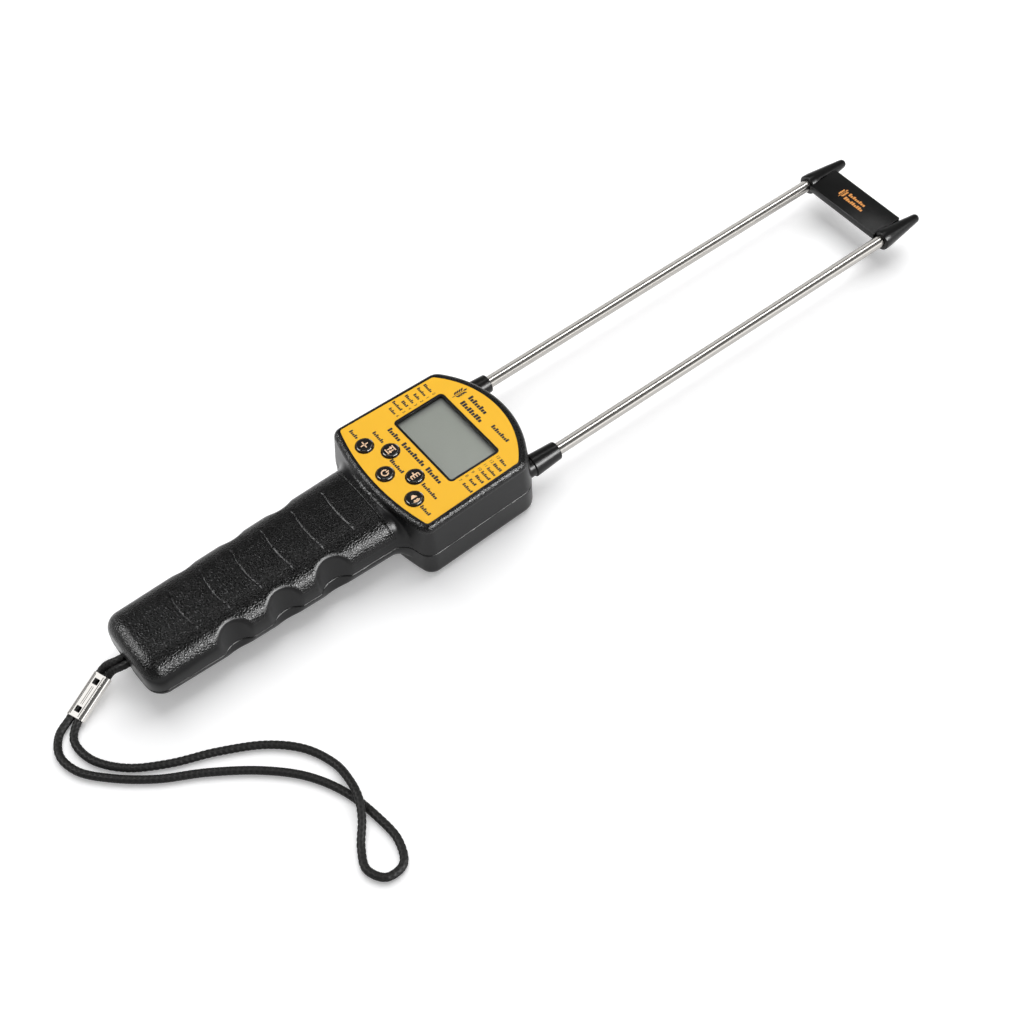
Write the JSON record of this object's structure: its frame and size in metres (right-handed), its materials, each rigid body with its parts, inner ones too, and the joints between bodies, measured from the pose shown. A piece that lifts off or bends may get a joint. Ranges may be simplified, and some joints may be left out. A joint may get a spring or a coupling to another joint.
{
  "type": "grain moisture meter",
  "caption": "Hand-held grain moisture meter: head with a display and keys, battery grip with finger scoops, a pair of long steel probes joined near their tips, and a wrist strap.",
  "frame": {"origin": "centre of the bottom of the box round the meter without its strap, as it lies on its back", "axes": "+X across the face towards the last key, +Y along the probes towards their tips, +Z out of the face"},
  "size_m": [0.1819, 0.4898, 0.0356],
  "materials": {
    "shell": "black moulded plastic, leather-grained on the top of the grip and satin on the sides",
    "label": "printed yellow film, satin",
    "lens": "clear window",
    "lcd": "grey-green liquid crystal panel",
    "board": "green circuit board",
    "key": "glossy black domed key",
    "switch": "moulded switch body",
    "speaker": "small loudspeaker",
    "steel": "bright stainless steel, drawn along its length",
    "nickel": "bright nickel plate",
    "brass": "brass",
    "sleeve": "black plastic, satin",
    "cell": "printed battery jacket",
    "wire": "insulated wire",
    "cord": "braided black cord"
  },
  "bodies": {
    "meter": {"front_shell": "shell", "rear_shell": "shell", "face_label": "label", "display_window": "lens", "lcd_display": "lcd", "circuit_board": "board", "speaker": "speaker", "left_probe": "steel", "right_probe": "steel", "left_ferrule": "sleeve", "right_ferrule": "sleeve", "left_probe_terminal": "brass", "right_probe_terminal": "brass", "left_probe_lead": "wire", "right_probe_lead": "wire", "left_tip_cap": "sleeve", "right_tip_cap": "sleeve", "tip_bar": "sleeve", "positive_contact": "nickel", "negative_contact": "nickel", "bridge_contact": "nickel", "battery_spring_1": "nickel", "battery_spring_2": "nickel", "strap_pin": "steel", "strap_clasp": "nickel", "strap_cord": "cord", "key_switch_1": "switch", "key_switch_2": "switch", "key_switch_3": "switch", "key_switch_4": "switch", "key_switch_5": "switch", "battery_1": "cell", "battery_2": "cell", "battery_3": "cell", "battery_4": "cell", "case_screw_1": "nickel", "case_screw_2": "nickel", "case_screw_3": "nickel", "case_screw_4": "nickel", "case_screw_5": "nickel", "case_screw_6": "nickel"},
    "battery_door": {"battery_door": "shell"},
    "button_limit": {"button_limit": "key"},
    "button_adjust": {"button_adjust": "key"},
    "button_power": {"button_power": "key"},
    "button_varieties": {"button_varieties": "key"},
    "button_voice": {"button_voice": "key"}
  },
  "joints": [
    {"name": "battery_door_hinge", "type": "hinge", "parent": "meter", "child": "battery_door", "pos_m": [0, -0.10645, 0.00367], "axis": [1, 0, 0], "range_deg": [0, 75]},
    {"name": "limit_press", "type": "slide", "parent": "meter", "child": "button_limit", "axis": [0, 0, -1], "range_m": [0, 0.0007], "stiffness_N_per_m": 600},
    {"name": "adjust_press", "type": "slide", "parent": "meter", "child": "button_adjust", "axis": [0, 0, -1], "range_m": [0, 0.0007], "stiffness_N_per_m": 600},
    {"name": "power_press", "type": "slide", "parent": "meter", "child": "button_power", "axis": [0, 0, -1], "range_m": [0, 0.0007], "stiffness_N_per_m": 600},
    {"name": "varieties_press", "type": "slide", "parent": "meter", "child": "button_varieties", "axis": [0, 0, -1], "range_m": [0, 0.0007], "stiffness_N_per_m": 600},
    {"name": "voice_press", "type": "slide", "parent": "meter", "child": "button_voice", "axis": [0, 0, -1], "range_m": [0, 0.0007], "stiffness_N_per_m": 600}
  ]
}
